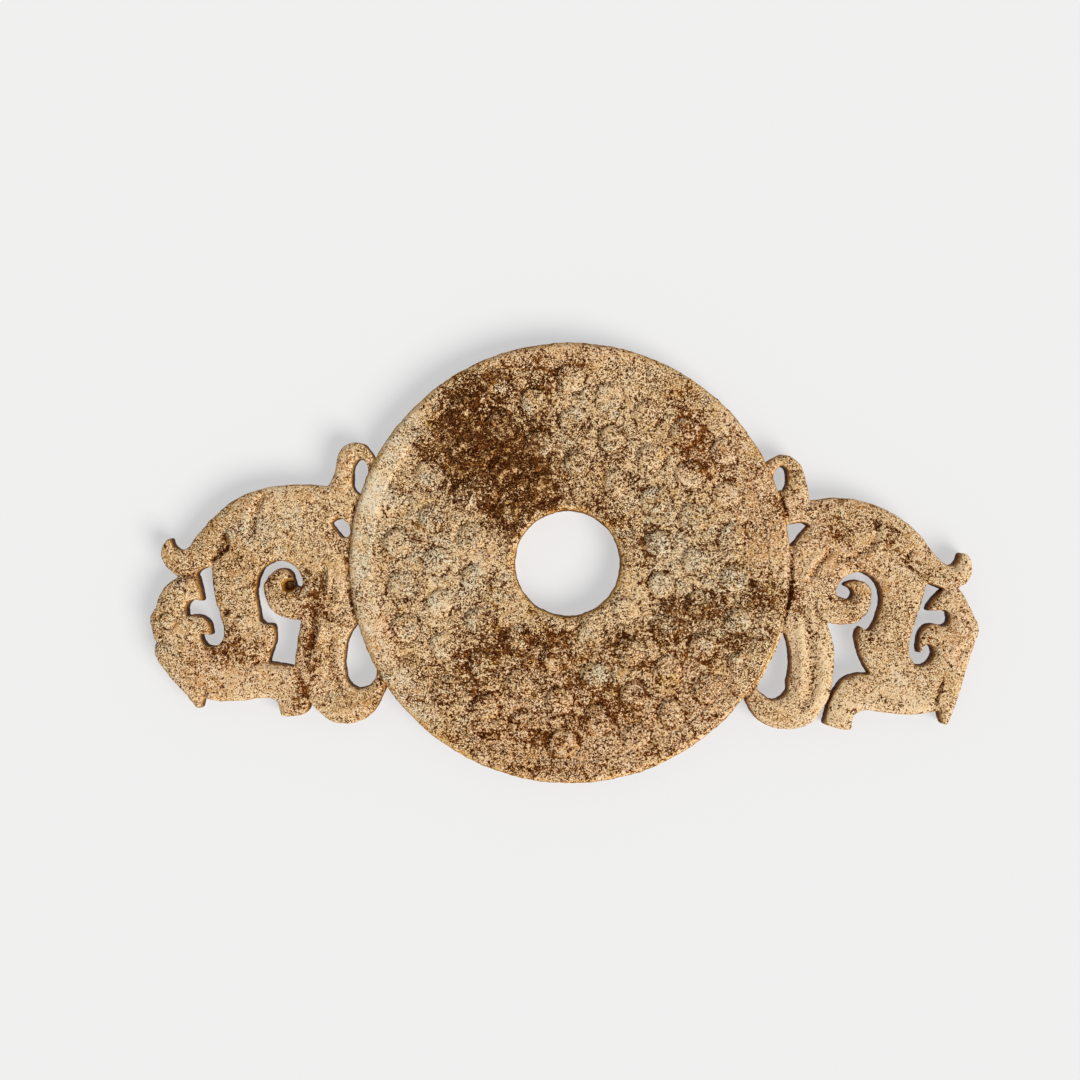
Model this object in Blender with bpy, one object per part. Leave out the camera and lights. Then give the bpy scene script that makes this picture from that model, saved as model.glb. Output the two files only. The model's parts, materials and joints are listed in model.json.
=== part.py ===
"""Jade plaque: a pierced disc between two openwork dragons, carved from one slab of nephrite.

The plaque lies on its back, face up. X runs along its length, Y across it, and Z is up. The origin is at
the middle of its bounding box, on the surface that it lies on. Outlines are in millimetres from the axis of
the disc.
"""

import math

import bmesh
import bpy
from mathutils import Matrix, Vector

MM = 0.001
MERGE_DISTANCE = 0.002

# The disc stands a little to the right of the middle, because the left dragon is the longer one.
DISC_AXIS_X = 0.7
DISC_RADIUS = 29.1
DISC_THICKNESS = 4.8
DISC_SIDES = 96
EDGE_BEVEL = 0.6
EDGE_BEVEL_DEPTH = 0.4
BACK_BEVEL = 0.4

# The raised plain band round the disc's edge, and the sunk field that carries the grain pattern.
RIM_WIDTH = 2.6
RIM_SLOPE = 0.35
FIELD_DEPTH = 0.35

# The hole was drilled slightly off the disc's axis.
HOLE_RADIUS = 7.15
HOLE_OFFSET = (-0.25, -0.1)
HOLE_BEVEL = 0.7
HOLE_BEVEL_DEPTH = 0.3
HOLE_SIDES = 64
CUTTER_OVERRUN = 1.0

# Grain pattern: low round bosses on a lattice of equal triangles.
GRAIN_PITCH = 5.65
GRAIN_TURN = math.radians(34.7)
GRAIN_START = (1.88, 1.90)
BOSS_RADIUS = 1.85
BOSS_TOP_RADIUS = 1.05
BOSS_HEIGHT = 0.32
BOSS_ROOT = 0.25
BOSS_SIDES = 8
GRAIN_OUTER_RADIUS = 26.5
GRAIN_INNER_RADIUS = 9.3

# The dragons are thinner than the disc, so a step runs round it on both faces.
DRAGON_FRONT_STEP = 0.4
DRAGON_BACK_STEP = 0.3

# How finely the sawn outlines follow their curves: segments from point to point, and degrees from point to
# point of an arc.
CURVE_STEPS = 4
ARC_STEP = 60

# Carved lines on the dragons' faces.
GROOVE_WIDTH = 0.9
GROOVE_DEPTH = 0.3
GROOVE_STEPS = 3

STONE_COLOUR = (0.50, 0.33, 0.17, 1)
STONE_ROUGHNESS = 0.62
SHARP_ANGLE = math.radians(18)

SMOOTH = "AUTO"
CORNER = "VECTOR"


def smooth(*points):
    """Points that an outline passes through in one flowing curve."""
    return [(x, y, SMOOTH) for x, y in points]


def corner(x, y):
    """A sharp turn of an outline."""
    return [(x, y, CORNER)]


def arc(centre, radius, start, end):
    """A round stretch of an outline, from one angle to the other in degrees."""
    steps = math.ceil(abs(end - start) / ARC_STEP)
    points = []
    for step in range(steps + 1):
        angle = math.radians(start + (end - start) * step / steps)
        points.append((centre[0] + radius * math.cos(angle), centre[1] + radius * math.sin(angle), SMOOTH))
    return points


def left_dragon_outline():
    """The left dragon's edge, from where its crest leaves the disc to where its tail meets it again."""
    root_above = corner(-21.8, 11.0) + corner(-25.7, 13.4)
    crest_loop = arc((-28.45, 13.7), 2.2, 20, 160) + smooth((-31.15, 11.6)) + corner(-32.0, 10.1)
    back = smooth((-35.8, 10.3), (-40.2, 9.85), (-44.4, 8.25), (-47.5, 5.6), (-49.5, 3.3))
    nose_curl = smooth((-50.5, 2.0), (-51.6, 1.6), (-52.4, 1.95), (-52.9, 2.7)) + corner(-53.15, 3.35)
    nose = smooth((-54.0, 1.6), (-53.7, 0.1), (-52.75, -1.0)) + corner(-51.7, -1.85)
    forehead = smooth((-53.3, -2.9), (-54.3, -4.6)) + corner(-54.6, -5.8)
    forehead += smooth((-55.4, -7.0), (-55.3, -8.7))
    cheek = corner(-54.7, -10.5) + smooth((-54.9, -11.7), (-54.3, -13.2), (-52.2, -15.8), (-49.9, -18.4))
    beard_tip = smooth((-49.4, -19.05)) + corner(-49.0, -19.2) + corner(-48.7, -17.8)
    belly = smooth((-46.0, -18.25), (-43.4, -18.1), (-40.6, -17.8), (-39.1, -18.05), (-38.35, -19.0))
    foot = corner(-38.2, -20.1) + smooth((-36.7, -20.2), (-35.2, -19.85), (-34.7, -19.0))
    foot += corner(-34.8, -17.7)
    tail = smooth((-34.0, -18.8), (-32.7, -20.0)) + arc((-29.7, -16.25), 5.0, 250, 350)
    root_below = corner(-24.4, -15.5) + corner(-21.8, -15.0)
    upper_edge = root_above + crest_loop + back + nose_curl + nose
    return upper_edge + forehead + cheek + beard_tip + belly + foot + tail + root_below


def left_dragon_openings():
    """The openings sawn through the left dragon. The disc's edge bounds those that reach it."""
    crest = corner(-26.2, 9.3) + corner(-26.55, 11.6) + smooth((-26.8, 12.9), (-27.65, 13.9), (-28.5, 13.2))
    crest += smooth((-28.9, 11.4), (-28.7, 9.9), (-28.05, 9.1))
    nape = corner(-31.75, 5.4)
    nape += smooth((-30.6, 6.0), (-29.5, 5.5), (-29.0, 4.5), (-29.15, 3.6), (-29.8, 3.3))
    nape += smooth((-31.0, 4.2))
    tail_eye = corner(-28.1, -7.7) + smooth((-29.2, -9.3), (-29.8, -11.7))
    tail_eye += arc((-27.7, -14.65), 2.1, 180, 340) + corner(-25.5, -14.2) + corner(-24.2, -14.0)
    tail_eye += corner(-26.1, -8.2)
    return [crest, nape, tail_eye, left_mouth(), left_body_scroll()]


def left_mouth():
    throat = smooth((-48.0, -0.4)) + corner(-47.3, -0.5)
    throat += smooth((-47.2, -2.4), (-46.8, -4.8), (-46.2, -7.0))
    lip = smooth((-45.7, -9.0), (-46.1, -10.5), (-47.3, -11.2), (-48.7, -10.6)) + corner(-49.1, -9.2)
    lower_hook = smooth((-48.3, -9.3)) + corner(-47.6, -9.5)
    lower_hook += smooth((-47.8, -8.3), (-48.6, -7.3), (-49.6, -7.0))
    upper_hook = corner(-50.9, -7.2) + smooth((-50.9, -5.5), (-49.8, -4.75)) + corner(-48.8, -5.0)
    brow = smooth((-49.0, -4.0), (-49.3, -2.6)) + corner(-49.7, -1.4) + smooth((-49.0, -0.8))
    return throat + lip + lower_hook + upper_hook + brow


def left_body_scroll():
    """The opening between body and leg, which winds up into a scroll."""
    haunch = corner(-35.5, -7.5) + smooth((-35.8, -9.2), (-36.1, -11.4)) + corner(-36.4, -13.9)
    leg_top = smooth((-38.1, -13.6)) + corner(-40.0, -13.3)
    leg_top += smooth((-39.8, -12.2), (-39.2, -10.3), (-39.2, -9.0))
    chest = corner(-39.4, -8.3) + smooth((-40.8, -8.0), (-41.3, -6.4))
    scroll_outside = arc((-38.45, -2.75), 3.15, 180, 0)
    scroll_end = smooth((-35.7, -3.35), (-36.25, -3.25)) + corner(-36.7, -2.3)
    scroll_inside = smooth((-37.15, -1.3), (-38.1, -0.85), (-39.55, -1.5))
    scroll_inside += smooth((-40.4, -3.0), (-40.1, -4.85), (-39.05, -6.5))
    return haunch + leg_top + chest + scroll_outside + scroll_end + scroll_inside + smooth((-37.3, -7.2))


def right_dragon_outline():
    """The right dragon's edge. A narrow slot beside its leg opens the space inside its body to the edge."""
    root_above = corner(22.2, 11.0) + corner(26.1, 13.2)
    crest_loop = smooth((27.2, 13.85), (28.5, 14.25), (29.95, 13.55), (30.95, 12.0), (31.45, 9.8))
    crest_loop += corner(31.65, 8.25)
    back = smooth((33.2, 8.3), (35.8, 8.5), (38.6, 8.15), (41.6, 7.05))
    back += smooth((44.3, 5.55), (46.6, 3.3), (48.5, 0.9))
    nose_curl = smooth((49.7, -0.25), (50.8, -0.4), (51.6, 0.15)) + corner(51.95, 1.2)
    nose = smooth((52.7, 0.9), (53.2, -0.6), (52.7, -2.3)) + corner(51.3, -3.3)
    forehead = smooth((52.4, -4.7), (53.1, -6.3), (54.05, -8.2), (53.8, -10.0), (52.9, -12.6))
    beard = smooth((51.95, -15.8), (50.95, -18.8), (50.25, -20.7), (49.85, -21.35), (49.5, -21.0))
    beard += corner(49.05, -19.45)
    belly = smooth((47.2, -19.8), (44.8, -20.05), (41.6, -19.75), (39.0, -19.5), (37.7, -20.2))
    belly += corner(37.2, -22.05)
    foot = smooth((35.6, -21.85)) + corner(33.85, -21.35)
    leg = smooth((34.2, -19.9), (34.7, -18.1), (35.6, -16.55), (36.5, -15.45), (38.0, -14.95))
    leg += corner(40.0, -14.8)
    haunch = smooth((38.9, -12.9), (38.3, -10.8), (38.25, -9.3)) + corner(38.6, -8.5) + smooth((39.6, -9.1))
    scroll_outside = smooth((40.5, -8.2), (41.2, -6.4)) + arc((38.35, -4.25), 3.1, 0, 180)
    scroll_eye = smooth((35.75, -4.6)) + arc((36.85, -4.05), 0.9, 240, 400) + corner(36.55, -2.85)
    scroll_inside = smooth((38.1, -2.4), (39.5, -3.0), (39.85, -4.9), (38.9, -7.1), (37.2, -8.0))
    scroll_inside += corner(33.9, -7.75)
    tail_side = smooth((34.7, -10.2), (35.0, -12.8), (34.7, -15.7), (34.3, -17.6), (33.4, -19.3))
    tail = smooth((32.2, -20.9)) + arc((28.5, -16.9), 5.1, 285, 200)
    root_below = corner(23.5, -17.5) + corner(20.2, -17.0)
    upper_edge = root_above + crest_loop + back + nose_curl + nose + forehead + beard
    inside = leg + haunch + scroll_outside + scroll_eye + scroll_inside + tail_side
    return upper_edge + belly + foot + inside + tail + root_below


def right_dragon_openings():
    """The closed openings sawn through the right dragon. The disc's edge bounds those that reach it."""
    crest = corner(26.4, 9.0) + corner(26.8, 10.9)
    crest += smooth((27.1, 12.0), (27.8, 12.9), (28.65, 12.7), (29.05, 11.6))
    crest += smooth((28.95, 10.5)) + corner(28.5, 9.55)
    nape = corner(28.0, 4.8) + smooth((29.5, 5.3), (30.7, 5.45)) + corner(31.95, 4.95)
    nape += smooth((30.95, 3.95), (30.1, 2.85)) + corner(29.5, 2.1) + corner(28.2, 2.3)
    tail_eye = corner(28.3, -8.8) + smooth((28.85, -9.8), (29.3, -11.7), (29.35, -13.6), (29.05, -15.6))
    tail_eye += arc((27.1, -16.25), 2.05, 330, 215) + smooth((24.9, -16.8)) + corner(25.0, -15.9)
    tail_eye += smooth((25.9, -14.3), (26.85, -12.4), (27.7, -10.5))
    return [crest, nape, tail_eye, right_mouth()]


def right_mouth():
    throat = smooth((47.15, -3.0), (46.45, -5.5), (45.6, -8.0), (44.95, -10.6), (45.0, -12.4))
    lower_jaw = smooth((46.2, -13.7), (47.8, -13.2), (48.45, -11.9), (47.6, -10.65), (46.8, -11.1))
    lower_jaw += corner(46.4, -12.1)
    lower_hook = smooth((46.4, -10.4), (46.85, -9.0), (48.1, -8.2))
    lower_hook += smooth((49.4, -8.4), (50.2, -8.15), (50.45, -7.2))
    upper_hook = smooth((50.05, -6.25), (49.1, -6.2)) + corner(47.65, -6.2)
    brow = smooth((48.55, -4.7)) + corner(49.8, -3.5) + smooth((48.5, -2.85)) + corner(47.4, -2.4)
    return throat + lower_jaw + lower_hook + upper_hook + brow


def left_dragon_lines():
    """Lines cut into the left dragon's face: muzzle, shoulder, crest, haunch, thigh, tail and eye."""
    return [
        smooth((-45.9, 4.4), (-45.3, 2.4), (-46.4, 1.0), (-47.7, 0.1)),
        smooth((-40.7, 9.0), (-41.9, 6.6), (-42.0, 3.6)),
        arc((-33.4, 6.3), 1.5, 200, -20),
        smooth((-32.6, -0.6), (-32.1, -2.6), (-32.8, -5.0), (-33.9, -7.2), (-34.0, -9.2), (-34.5, -11.4)),
        smooth((-35.2, -14.4), (-35.0, -16.0)),
        smooth((-31.7, -9.4), (-32.0, -13.0), (-30.8, -17.0), (-28.4, -18.6)),
        arc((-53.2, -7.6), 1.0, 60, 360),
    ]


def right_dragon_lines():
    """Lines cut into the right dragon's face: shoulder, muzzle, haunch, tail, beard and eye."""
    return [
        smooth((40.4, 7.0), (40.4, 4.2), (38.9, 1.8), (36.2, 0.8), (34.8, 0.3)),
        smooth((45.1, 1.8), (44.2, 0.4), (45.4, -1.0), (47.4, -2.1)),
        smooth((34.5, 1.7), (32.8, 0.0), (32.0, -2.3), (32.4, -4.6), (33.2, -6.8)),
        smooth((31.3, -5.4), (31.7, -8.8), (32.1, -13.0), (31.8, -17.0), (30.4, -19.0)),
        smooth((50.1, -13.8), (49.2, -16.6), (48.8, -18.6)),
        arc((51.8, -8.6), 1.0, 120, -180),
    ]


def new_object(name, mesh, material=None):
    obj = bpy.data.objects.new(name, mesh)
    bpy.context.scene.collection.objects.link(obj)
    if material:
        mesh.materials.append(material)
    return obj


def helper(obj):
    """Marks an object that only shapes another one."""
    obj.hide_render = True
    obj.display_type = "WIRE"
    return obj


def mesh_of_curve(curve, name, matrix=None):
    """Turns a curve into a closed mesh in its place, and drops the curve."""
    source = bpy.data.objects.new(name + "_curve", curve)
    bpy.context.scene.collection.objects.link(source)
    bpy.context.view_layer.update()
    evaluated = source.evaluated_get(bpy.context.evaluated_depsgraph_get())
    mesh = bpy.data.meshes.new_from_object(evaluated)
    bpy.data.objects.remove(source)
    bpy.data.curves.remove(curve)
    mesh.name = name
    shape = bmesh.new()
    shape.from_mesh(mesh)
    bmesh.ops.remove_doubles(shape, verts=shape.verts, dist=MERGE_DISTANCE * MM)
    bmesh.ops.recalc_face_normals(shape, faces=shape.faces)
    if matrix:
        bmesh.ops.transform(shape, matrix=matrix, verts=shape.verts)
    shape.to_mesh(mesh)
    shape.free()
    return mesh


def add_spline(curve, knots, closed):
    spline = curve.splines.new("BEZIER")
    spline.bezier_points.add(len(knots) - 1)
    spline.use_cyclic_u = closed
    for point, (x, y, kind) in zip(spline.bezier_points, knots):
        point.co = Vector((x * MM, y * MM, 0))
        point.handle_left_type = kind
        point.handle_right_type = kind


def dragon_slab(name, outline, openings):
    """A dragon sawn out of the slab: its outline, pierced by its openings."""
    bottom = DRAGON_BACK_STEP
    top = DISC_THICKNESS - DRAGON_FRONT_STEP
    curve = bpy.data.curves.new(name, "CURVE")
    curve.dimensions = "2D"
    curve.fill_mode = "BOTH"
    curve.resolution_u = CURVE_STEPS
    curve.extrude = (top - bottom) / 2 * MM
    for knots in [outline] + openings:
        add_spline(curve, knots, True)
    place = Matrix.Translation((DISC_AXIS_X * MM, 0, (top + bottom) / 2 * MM))
    return helper(new_object(name, mesh_of_curve(curve, name, place)))


def carved_lines(name, lines):
    """A cutter of round bars that lie half in the dragon's face."""
    top = DISC_THICKNESS - DRAGON_FRONT_STEP
    radius = (GROOVE_WIDTH**2 / 4 + GROOVE_DEPTH**2) / (2 * GROOVE_DEPTH)
    curve = bpy.data.curves.new(name, "CURVE")
    curve.dimensions = "3D"
    curve.resolution_u = GROOVE_STEPS
    curve.bevel_depth = radius * MM
    curve.bevel_resolution = 1
    curve.use_fill_caps = True
    for knots in lines:
        add_spline(curve, knots, False)
    place = Matrix.Translation((DISC_AXIS_X * MM, 0, (top - GROOVE_DEPTH + radius) * MM))
    return helper(new_object(name, mesh_of_curve(curve, name, place)))


def turned(name, profile, sides, centre):
    """A solid of revolution: profile is (radius, height) up the outside and back down the axis."""
    shape = bmesh.new()
    points = [shape.verts.new((radius * MM, 0, height * MM)) for radius, height in profile]
    edges = [shape.edges.new(pair) for pair in zip(points, points[1:])]
    bmesh.ops.spin(
        shape,
        geom=points + edges,
        cent=(0, 0, 0),
        axis=(0, 0, 1),
        angle=2 * math.pi,
        steps=sides,
        use_merge=True,
        use_duplicate=False,
    )
    bmesh.ops.remove_doubles(shape, verts=shape.verts, dist=MERGE_DISTANCE * MM)
    bmesh.ops.recalc_face_normals(shape, faces=shape.faces)
    place = Matrix.Translation(((centre[0] + DISC_AXIS_X) * MM, centre[1] * MM, 0))
    bmesh.ops.transform(shape, matrix=place, verts=shape.verts)
    mesh = bpy.data.meshes.new(name)
    shape.to_mesh(mesh)
    shape.free()
    return mesh


def disc_mesh(name):
    """The disc before its hole is drilled: bevelled edge, raised rim, sunk field and a plain back."""
    field = DISC_THICKNESS - FIELD_DEPTH
    profile = [
        (0, 0),
        (DISC_RADIUS - BACK_BEVEL, 0),
        (DISC_RADIUS, BACK_BEVEL),
        (DISC_RADIUS, DISC_THICKNESS - EDGE_BEVEL_DEPTH),
        (DISC_RADIUS - EDGE_BEVEL, DISC_THICKNESS),
        (DISC_RADIUS - RIM_WIDTH, DISC_THICKNESS),
        (DISC_RADIUS - RIM_WIDTH - RIM_SLOPE, field),
        (0, field),
    ]
    return turned(name, profile, DISC_SIDES, (0, 0))


def hole_cutter(name):
    """The drilled hole, widened by a bevel at the front face and at the back."""
    field = DISC_THICKNESS - FIELD_DEPTH
    profile = [
        (0, -CUTTER_OVERRUN),
        (HOLE_RADIUS + BACK_BEVEL + CUTTER_OVERRUN, -CUTTER_OVERRUN),
        (HOLE_RADIUS, BACK_BEVEL),
        (HOLE_RADIUS, field - HOLE_BEVEL_DEPTH),
        (HOLE_RADIUS + HOLE_BEVEL, field),
        (HOLE_RADIUS + 2 * HOLE_BEVEL, field + HOLE_BEVEL_DEPTH),
        (0, field + HOLE_BEVEL_DEPTH),
    ]
    return helper(new_object(name, turned(name, profile, HOLE_SIDES, HOLE_OFFSET)))


def grain_places():
    """The centres of the bosses that fit on the field between the rim and the hole."""
    first = Vector((math.cos(GRAIN_TURN), math.sin(GRAIN_TURN))) * GRAIN_PITCH
    second_turn = GRAIN_TURN + math.radians(60)
    second = Vector((math.cos(second_turn), math.sin(second_turn))) * GRAIN_PITCH
    reach = math.ceil(2 * DISC_RADIUS / GRAIN_PITCH)
    places = []
    for row in range(-reach, reach + 1):
        for column in range(-reach, reach + 1):
            place = Vector(GRAIN_START) + row * first + column * second
            from_hole = (place - Vector(HOLE_OFFSET)).length
            if place.length < GRAIN_OUTER_RADIUS and from_hole > GRAIN_INNER_RADIUS:
                places.append(place)
    return places


def grain_pattern(name):
    """All the bosses of the field, as one helper of separate low domes."""
    field = DISC_THICKNESS - FIELD_DEPTH
    shape = bmesh.new()
    root_radius = BOSS_RADIUS + (BOSS_RADIUS - BOSS_TOP_RADIUS) * BOSS_ROOT / BOSS_HEIGHT
    for place in grain_places():
        middle = field + (BOSS_HEIGHT - BOSS_ROOT) / 2
        bmesh.ops.create_cone(
            shape,
            cap_ends=True,
            segments=BOSS_SIDES,
            radius1=root_radius * MM,
            radius2=BOSS_TOP_RADIUS * MM,
            depth=(BOSS_HEIGHT + BOSS_ROOT) * MM,
            matrix=Matrix.Translation(((place.x + DISC_AXIS_X) * MM, place.y * MM, middle * MM)),
        )
    mesh = bpy.data.meshes.new(name)
    shape.to_mesh(mesh)
    shape.free()
    return helper(new_object(name, mesh))


def altered_jade():
    """Nephrite turned opaque and tan by burial."""
    material = bpy.data.materials.new("altered_jade")
    material.use_nodes = True
    shader = material.node_tree.nodes["Principled BSDF"]
    shader.inputs["Base Color"].default_value = STONE_COLOUR
    shader.inputs["Roughness"].default_value = STONE_ROUGHNESS
    shader.inputs["Metallic"].default_value = 0
    return material


def combine(obj, other, operation):
    change = obj.modifiers.new(other.name, "BOOLEAN")
    change.operation = operation
    change.solver = "EXACT"
    change.object = other


def clear_scene():
    for obj in list(bpy.data.objects):
        bpy.data.objects.remove(obj)


def main():
    clear_scene()
    plaque = new_object("jade_plaque", disc_mesh("jade_plaque"), altered_jade())
    combine(plaque, grain_pattern("grain_pattern"), "UNION")
    left = dragon_slab("left_dragon", left_dragon_outline(), left_dragon_openings())
    combine(left, carved_lines("left_lines", left_dragon_lines()), "DIFFERENCE")
    combine(plaque, left, "UNION")
    right = dragon_slab("right_dragon", right_dragon_outline(), right_dragon_openings())
    combine(right, carved_lines("right_lines", right_dragon_lines()), "DIFFERENCE")
    combine(plaque, right, "UNION")
    combine(plaque, hole_cutter("hole"), "DIFFERENCE")
    plaque.data.shade_smooth()
    plaque.data.set_sharp_from_angle(angle=SHARP_ANGLE)


main()
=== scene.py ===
"""A flat jade plaque: a pierced disc with a raised grain pattern between two openwork dragons.

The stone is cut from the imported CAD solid: its surface is remeshed finely, then a node tree carves the
grain, the lines of the dragons and the wear of the edges. Lengths inside the trees are in millimetres.
"""

import json
import math

import bmesh
import bpy
import numpy as np
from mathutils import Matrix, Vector


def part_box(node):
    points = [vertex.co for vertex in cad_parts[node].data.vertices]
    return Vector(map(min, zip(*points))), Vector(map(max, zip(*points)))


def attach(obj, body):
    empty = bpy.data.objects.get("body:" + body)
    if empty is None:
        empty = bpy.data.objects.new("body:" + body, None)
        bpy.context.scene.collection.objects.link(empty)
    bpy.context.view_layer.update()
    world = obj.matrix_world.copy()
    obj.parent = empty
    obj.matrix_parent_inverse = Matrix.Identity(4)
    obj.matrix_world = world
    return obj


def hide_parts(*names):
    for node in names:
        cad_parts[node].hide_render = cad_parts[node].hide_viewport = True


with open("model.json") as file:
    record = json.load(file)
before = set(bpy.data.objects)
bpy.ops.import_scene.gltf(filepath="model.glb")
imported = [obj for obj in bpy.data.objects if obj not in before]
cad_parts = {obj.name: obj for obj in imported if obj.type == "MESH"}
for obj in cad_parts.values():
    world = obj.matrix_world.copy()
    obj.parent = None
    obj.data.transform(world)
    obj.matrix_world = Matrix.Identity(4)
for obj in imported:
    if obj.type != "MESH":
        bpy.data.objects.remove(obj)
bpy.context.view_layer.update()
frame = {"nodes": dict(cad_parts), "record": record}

bl_info = {
    "name": "Jade Plaque",
    "version": (1, 0, 0),
    "blender": (4, 5, 0),
    "location": "View3D > Sidebar > Plaque",
    "description": "Cuts a jade plaque with a grain-patterned disc and two openwork dragons",
    "category": "Object",
}

MM = 0.001
PLAQUE_LOW, PLAQUE_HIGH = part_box("jade_plaque")
TOP = PLAQUE_HIGH.z / MM

# The hole stands a little off the disc's axis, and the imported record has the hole.
HOLE_BOX = frame["record"]["physics"]["openings"][0]["box_m"]
HOLE_X, HOLE_Y = ((HOLE_BOX[0][i] + HOLE_BOX[1][i]) / 2 / MM for i in (0, 1))
HOLE_OFFSET = (-0.25, -0.1)
AXIS_X, AXIS_Y = HOLE_X - HOLE_OFFSET[0], HOLE_Y - HOLE_OFFSET[1]
DISC_RADIUS = (PLAQUE_HIGH.y - PLAQUE_LOW.y) / 2 / MM

# The parts of the disc and heights above the back, in millimetres. The field is the sunk ring with the grain,
# and what lies above FACE_START belongs to the carved face.
HOLE_RADIUS = 7.15
HOLE_LIP = 0.7
FIELD_RADIUS = 26.15
FIELD_HEIGHT = TOP - 0.35
DRAGON_HEIGHT = TOP - 0.4
MIDDLE = 2.4
FACE_START = 3.6

# The lattice of the grain: one of its points, how far out and how near the hole its bosses stand, and the
# distance between its rows as a share of the pitch.
GRAIN_START = (1.88, 1.90)
GRAIN_REACH = 26.5
GRAIN_CLEARANCE = 9.3
ROW_STEP = math.sqrt(0.75)

# Carved lines: the distance between their points, the gap that still counts as closed, and the fade at an end.
LINE_STEP = 0.22
CLOSED_GAP = 0.05
FADE_LENGTH = 0.9
FADE_START = 0.12

# Where the camera is aimed, and how far the plane that it is measured from lies under the top.
AIM = (-3.229, 3.037)
AIM_DEPTH = 0.2


# ---------------------------------------------------------------------------------------------------
# Lines and marks, in millimetres from the axis of the disc


def spiral(x, y, first_radius, last_radius, first, last, steps=24):
    """Points along a spiral, its angles in degrees."""
    points = []
    for i in range(steps + 1):
        radius = first_radius + (last_radius - first_radius) * i / steps
        angle = math.radians(first + (last - first) * i / steps)
        points.append((x + radius * math.cos(angle), y + radius * math.sin(angle)))
    return points


def arc(x, y, radius, first, last, steps=14):
    """Points along an arc, its angles in degrees."""
    return spiral(x, y, radius, radius, first, last, steps)


# Each line is its points, its width and its depth.
CARVED_LINES = (
    # Left dragon: muzzle, shoulder, curl below the crest, haunch, tail, thigh, jaw, beard, eye.
    ([(-45.8, 4.7), (-45.5, 3.3), (-45.3, 2.2), (-46.1, 1.4), (-46.8, 0.7), (-47.6, 0.0)], 1.0, 0.38),
    ([(-40.4, 9.3), (-41.4, 7.5), (-41.8, 5.4), (-41.9, 3.2)], 1.3, 0.26),
    (spiral(-33.5, 6.6, 1.6, 1.25, 215, -70), 0.6, 0.17),
    ([(-32.7, -0.4), (-32.5, -1.7), (-32.6, -2.9), (-32.9, -4.2)], 0.9, 0.24),
    ([(-33.8, -5.6), (-33.9, -7.4), (-33.9, -9.3), (-34.2, -10.8), (-34.8, -12.6)], 1.4, 0.30),
    ([(-36.3, -13.5), (-35.8, -15.1), (-35.2, -16.3), (-34.7, -17.9)], 0.9, 0.34),
    ([(-42.8, -13.6), (-41.0, -13.15), (-39.3, -13.1), (-37.9, -13.5)], 0.7, 0.24),
    ([(-55.0, -10.5), (-53.6, -10.5), (-52.8, -10.9)], 0.7, 0.30),
    ([(-48.0, -18.3), (-48.3, -17.1)], 0.6, 0.30),
    ([(-51.9, -1.8), (-50.6, -1.75), (-49.2, -1.6)], 0.9, 0.40),
    (arc(-53.2, -7.6, 1.12, 20, 400, 20), 0.55, 0.22),
    ([(-31.6, -9.4), (-31.6, -12.0), (-30.9, -15.4), (-29.4, -18.0)], 1.2, 0.22),
    ([(-32.4, 4.4), (-30.6, 2.0), (-29.3, -1.2), (-29.4, -4.4)], 0.9, 0.16),
    # Right dragon: shoulder, haunch, scroll, tail, muzzle, beard, eye, cheek.
    ([(40.7, 6.4), (40.5, 3.9), (40.1, 2.6), (39.0, 1.7), (37.9, 1.0), (36.4, 0.5), (34.9, 0.1)], 0.9, 0.22),
    ([(34.9, 2.1), (33.9, 0.8), (33.0, -0.1), (32.3, -1.3), (31.7, -2.5)], 0.9, 0.32),
    ([(32.4, -4.3), (32.4, -5.7), (32.9, -6.8), (34.0, -7.8)], 0.9, 0.26),
    (
        [(31.2, -5.2), (31.3, -7.1), (31.6, -8.7), (31.8, -10.7), (32.05, -12.7), (32.1, -14.7), (31.9, -16.6),
         (31.4, -18.1), (30.5, -19.1)],
        1.5,
        0.22,
    ),
    ([(45.4, 1.9), (44.7, 0.9), (44.4, 0.2), (45.4, -0.9), (46.7, -1.85), (47.7, -2.4)], 0.8, 0.30),
    ([(49.4, -15.2), (49.0, -16.6), (48.6, -17.6), (48.6, -19.4)], 0.7, 0.34),
    (arc(51.8, -8.6, 1.1, 120, -200, 18), 0.5, 0.14),
    ([(53.2, -10.8), (51.9, -11.6), (51.2, -12.8)], 0.7, 0.20),
    ([(36.0, -13.7), (37.4, -12.9), (39.2, -12.6)], 0.6, 0.14),
)

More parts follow.
